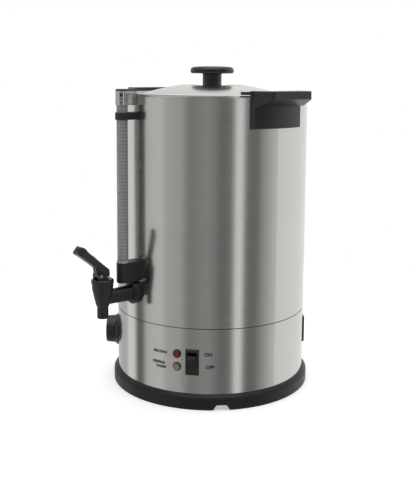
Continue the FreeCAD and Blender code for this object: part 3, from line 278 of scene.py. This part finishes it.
LOOKS = {
    wall_steel: "tank_wall lower_housing",
    lid_steel: "lid_shell",
    inner_steel: "tank_floor",
    polished: "gauge_cap",
    zinc: "bottom_plate base_screws tie_rods heater_element lid_washer lid_knob_screw "
          "right_handle_screws left_handle_screws gauge_clip_screw tap_stem tap_spring tap_pivot_pin "
          "thermostat_shaft inlet_screws",
    cast: "heater_plate",
    brass: "thermostat_bulb gauge_nut inlet_pins",
    black: "dry_boil_cutout terminal_block lid_knob right_handle left_handle gauge_lower_block gauge_clip "
           "gauge_plug tap_body tap_shank tap_collar tap_nut tap_bonnet tap_lever thermostat_bezel "
           "thermostat_knob thermostat_body heating_lamp_holder warming_lamp_holder power_inlet",
    base_black: "base_ring",
    gloss_black: "switch_housing switch_rocker",
    seal_grey: "gauge_seal tap_inner_seal tap_seat_cup",
    seal_black: "tap_outer_seal",
    gauge_glass("gauge_tube_clear"): "gauge_tube",
    lens("red_lens", (0.08, 0.002, 0.005), (0.22, 0.010, 0.022)): "heating_lamp_lens",
    lens("amber_lens", (0.16, 0.11, 0.08), (0.34, 0.26, 0.19)): "warming_lamp_lens",
}
for look, names in LOOKS.items():
    for name in names.split():
        mesh = bpy.data.objects[name].data
        mesh.materials.clear()
        mesh.materials.append(look)


def add_piece(name, mesh, material, body):
    """A piece of the scene alone, which rides on a body and carries a material."""
    mesh.materials.clear()
    mesh.materials.append(material)
    piece = bpy.data.objects.new(name, mesh)
    bpy.context.collection.objects.link(piece)
    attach(piece, body)


# Printed legends, wrapped onto the steel
FONT_HEIGHT_RATIO, STROKE_GAIN, INK_LIFT = 1.38, 0.075, 0.00012
LARGE_LETTER, SMALL_LETTER = 0.0052, 0.0040


def legend(name, words, azimuth, height, tall):
    """Printed words on the housing's wall, centred at an azimuth and a height."""
    curve = bpy.data.curves.new(name, "FONT")
    curve.body = words
    curve.size = tall * FONT_HEIGHT_RATIO
    curve.align_x = "CENTER"
    curve.align_y = "CENTER"
    curve.resolution_u = 3
    curve.offset = tall * STROKE_GAIN
    source = bpy.data.objects.new(name + "_source", curve)
    bpy.context.collection.objects.link(source)
    bpy.context.view_layer.update()
    evaluated = source.evaluated_get(bpy.context.evaluated_depsgraph_get())
    mesh = bpy.data.meshes.new_from_object(evaluated)
    bpy.data.objects.remove(source)
    for vertex in mesh.vertices:
        turn = math.degrees(vertex.co.x / HOUSING_RADIUS)
        vertex.co = around(azimuth + turn, HOUSING_RADIUS + INK_LIFT, height + vertex.co.y)
    add_piece(name, mesh, ink, "urn")


ink = printed("black_ink", (0.012, 0.012, 0.012))
legend("legend_on", "ON", 49.0, 0.0820, LARGE_LETTER)
legend("legend_off", "OFF", 50.0, 0.0630, LARGE_LETTER)
legend("legend_heat", "HEATING", 20.3, 0.0805, SMALL_LETTER)
legend("legend_keep", "KEEPING", 19.4, 0.0640, SMALL_LETTER)
legend("legend_warm", "WARM", 20.9, 0.0578, SMALL_LETTER)


# Dial marks: painted strokes on the bezel's flat ring, from low to high.
# Their ends are radii from the dial's axis, and the ring's face is measured from the urn's axis.
MARK_COUNT, MARK_SWEEP = 10, 270
MARK_INNER, MARK_OUTER, MARK_WIDTH, MARK_FACE = 0.0238, 0.0264, 0.0008, 0.15412
paint = printed("white_paint", (0.62, 0.62, 0.60))


def dial_marks():
    """A fan of short radial strokes round the dial, wider towards the high end."""
    side = around(THERMOSTAT_AZIMUTH + 90, 1.0, 0.0)
    upward = Vector((0.0, 0.0, 1.0))
    centre = around(THERMOSTAT_AZIMUTH, MARK_FACE, DIAL_HEIGHT)
    points, faces = [], []
    for index in range(MARK_COUNT):
        share = index / (MARK_COUNT - 1)
        angle = math.radians(MARK_SWEEP * (share - 0.5))
        reach = side * math.sin(angle) + upward * math.cos(angle)
        across = side * math.cos(angle) - upward * math.sin(angle)
        half = MARK_WIDTH * (0.5 + 0.5 * share)
        first = len(points)
        for radius, sign in ((MARK_INNER, -1), (MARK_INNER, 1), (MARK_OUTER, 1), (MARK_OUTER, -1)):
            points.append(centre + reach * radius + across * half * sign)
        faces.append((first, first + 1, first + 2, first + 3))
    mesh = bpy.data.meshes.new("dial_marks")
    mesh.from_pydata(points, [], faces)
    add_piece("dial_marks", mesh, paint, "urn")


dial_marks()

# Seam: a black band as painted shade in the gap between the tank and the housing
SEAM_SHADE_RADIUS, SEAM_SHADE_HEIGHT, SEAM_SIDES = BODY_RADIUS + 0.00005, 0.0011, 256


def seam_line():
    """A thin upright black band round the urn's axis, just under the seam, painted in as the gap's shade.
    """
    levels = (SEAM_HEIGHT - SEAM_SHADE_HEIGHT, SEAM_HEIGHT)
    points = [around(360 * k / SEAM_SIDES, SEAM_SHADE_RADIUS, z) for z in levels for k in range(SEAM_SIDES)]
    walls = []
    for k in range(SEAM_SIDES):
        after = (k + 1) % SEAM_SIDES
        walls.append((k, after, SEAM_SIDES + after, SEAM_SIDES + k))
    mesh = bpy.data.meshes.new("seam_line")
    mesh.from_pydata(points, [], walls)
    # The band's black is painted shade, where the gap holds only shadow
    add_piece("seam_line", mesh, seal_black, "urn")


seam_line()

# Floor: a plain pale round sheet
FLOOR_RADIUS, FLOOR_SIDES, FLOOR_GLOW = 0.85, 96, 0.42
rim = [around(90 + 360 * k / FLOOR_SIDES, FLOOR_RADIUS, 0.0) for k in range(FLOOR_SIDES)]
floor_mesh = bpy.data.meshes.new("floor")
floor_mesh.from_pydata(rim, [], [tuple(range(FLOOR_SIDES))])
floor = bpy.data.objects.new("floor", floor_mesh)
bpy.context.collection.objects.link(floor)
g = Graph("pale_floor")
pale = g.mix(g.span(g.noise(3.0), 0.0, 1.0), (0.86, 0.86, 0.86), (0.90, 0.90, 0.90))
g.link(pale, g.shader.inputs["Base Color"])
g.link(pale, g.shader.inputs["Emission Color"])
g.put(Roughness=0.7, Emission_Strength=FLOOR_GLOW)
floor.data.materials.append(g.material)
floor.visible_glossy = False

# Camera: the photograph's place, lens and framing, turned by the view's azimuth
VIEW_AZIMUTH = 50.0
FOCAL_PIXELS = 820.43449
PRINCIPAL_ROW = 175.0
IMAGE_HEIGHT = 500.0
SENSOR_WIDTH = 36.0
UNIT = BODY_RADIUS
FRAME_LIFT = 0.00573
CAMERA_DISTANCE, CAMERA_HEIGHT = 8.69357, 3.22501
PITCH, ROLL, YAW = 0.12331, 0.00665, -0.00482

turn = Matrix.Rotation(math.radians(VIEW_AZIMUTH), 3, "Z")
forward = Vector((math.sin(YAW) * math.cos(PITCH), math.cos(YAW) * math.cos(PITCH), -math.sin(PITCH)))
level_right = Vector((math.cos(YAW), -math.sin(YAW), 0.0))
level_up = level_right.cross(forward)
right = level_right * math.cos(ROLL) + level_up * math.sin(ROLL)
up = level_up * math.cos(ROLL) - level_right * math.sin(ROLL)
axes = [turn @ v for v in (right, up, -forward)]
place = turn @ Vector((0.0, -CAMERA_DISTANCE * UNIT, CAMERA_HEIGHT * UNIT + FRAME_LIFT))
matrix = Matrix.Identity(4)
for column, axis in enumerate(axes):
    for row in range(3):
        matrix[row][column] = axis[row]
for row in range(3):
    matrix[row][3] = place[row]
data = bpy.data.cameras.new("camera")
data.sensor_fit = "AUTO"
data.sensor_width = SENSOR_WIDTH
data.lens = FOCAL_PIXELS * SENSOR_WIDTH / IMAGE_HEIGHT
data.shift_y = -(IMAGE_HEIGHT / 2 - PRINCIPAL_ROW) / IMAGE_HEIGHT
data.clip_end = 100.0
camera = bpy.data.objects.new("camera", data)
camera.matrix_world = matrix
bpy.context.collection.objects.link(camera)
scene.camera = camera

# Light: one soft panel overhead
PANEL_POWER, PANEL_SIZE, PANEL_HEIGHT, PANEL_OFFSET = 22, (2.4, 2.0), 2.4, 0.3
URN_MIDDLE = Vector((0, 0, 0.25))
light = bpy.data.lights.new("top_panel", "AREA")
light.shape = "RECTANGLE"
light.size, light.size_y = PANEL_SIZE
light.energy = PANEL_POWER
top_panel = bpy.data.objects.new("top_panel", light)
top_panel.location = around(VIEW_AZIMUTH, PANEL_OFFSET, PANEL_HEIGHT)
top_panel.rotation_euler = (URN_MIDDLE - top_panel.location).to_track_quat("-Z", "Y").to_euler()
bpy.context.collection.objects.link(top_panel)
top_panel.visible_camera = False

# Studio room: bright walls behind the urn, darker ones with lit strips before it.
# Each pair is an angle from the camera's side, in degrees, and the wall's brightness there.
ROOM = (
    (-180, 1.0), (-152, 0.60), (-124, 0.52), (-120, 0.95), (-105, 0.92), (-101, 0.10), (-90, 0.10),
    (-85, 0.62), (-60, 0.70), (-55, 0.50), (-34, 0.47), (-28, 0.24), (-15, 0.29), (-5, 0.34),
    (4, 0.28), (11, 0.17), (26, 0.18), (29, 1.0), (37, 1.0), (40, 0.16), (54, 0.17),
    (66, 0.40), (78, 0.60), (88, 0.90), (180, 1.0),
)
YELLOWING = 0.99
CEILING, BACKDROP = (0.85, 0.85, 0.85, 1.0), (1.0, 1.0, 1.0, 1.0)
CEILING_START, CEILING_FULL = 0.55, 0.85
world = bpy.data.worlds.new("studio")
world.use_nodes = True
nodes, links = world.node_tree.nodes, world.node_tree.links


def world_math(operation, a, b):
    """A sum, product or angle of two of the world's values."""
    node = nodes.new("ShaderNodeMath")
    node.operation = operation
    for index, value in enumerate((a, b)):
        if isinstance(value, (int, float)):
            node.inputs[index].default_value = value
        else:
            links.new(value, node.inputs[index])
    return node.outputs["Value"]


ray = nodes.new("ShaderNodeTexCoord")
turned = nodes.new("ShaderNodeMapping")
turned.inputs["Rotation"].default_value = (0.0, 0.0, -math.radians(VIEW_AZIMUTH))
links.new(ray.outputs["Generated"], turned.inputs["Vector"])
parts = nodes.new("ShaderNodeSeparateXYZ")
links.new(turned.outputs["Vector"], parts.inputs["Vector"])
bearing = world_math("ARCTAN2", parts.outputs["X"], world_math("MULTIPLY", parts.outputs["Y"], -1.0))
share = world_math("ADD", world_math("MULTIPLY", bearing, 1 / math.tau), 0.5)
bands = nodes.new("ShaderNodeValToRGB")
links.new(share, bands.inputs["Fac"])
steps = bands.color_ramp.elements
while len(steps) < len(ROOM):
    steps.new(0.5)
for step, (angle, level) in zip(steps, ROOM):
    step.position = (angle + 180) / 360
    step.color = (level, level, level * YELLOWING, 1.0)
overhead = nodes.new("ShaderNodeMapRange")
links.new(parts.outputs["Z"], overhead.inputs["Value"])
overhead.inputs["From Min"].default_value = CEILING_START
overhead.inputs["From Max"].default_value = CEILING_FULL
room = nodes.new("ShaderNodeMix")
room.data_type = "RGBA"
links.new(overhead.outputs["Result"], room.inputs["Factor"])
links.new(bands.outputs["Color"], room.inputs[6])
room.inputs[7].default_value = CEILING
seen = nodes.new("ShaderNodeLightPath")
backdrop = nodes.new("ShaderNodeMix")
backdrop.data_type = "RGBA"
links.new(seen.outputs["Is Camera Ray"], backdrop.inputs["Factor"])
links.new(room.outputs[2], backdrop.inputs[6])
backdrop.inputs[7].default_value = BACKDROP
links.new(backdrop.outputs[2], nodes["Background"].inputs["Color"])
nodes["Background"].inputs["Strength"].default_value = 1.0
scene.world = world
scene.view_settings.view_transform = "Standard"
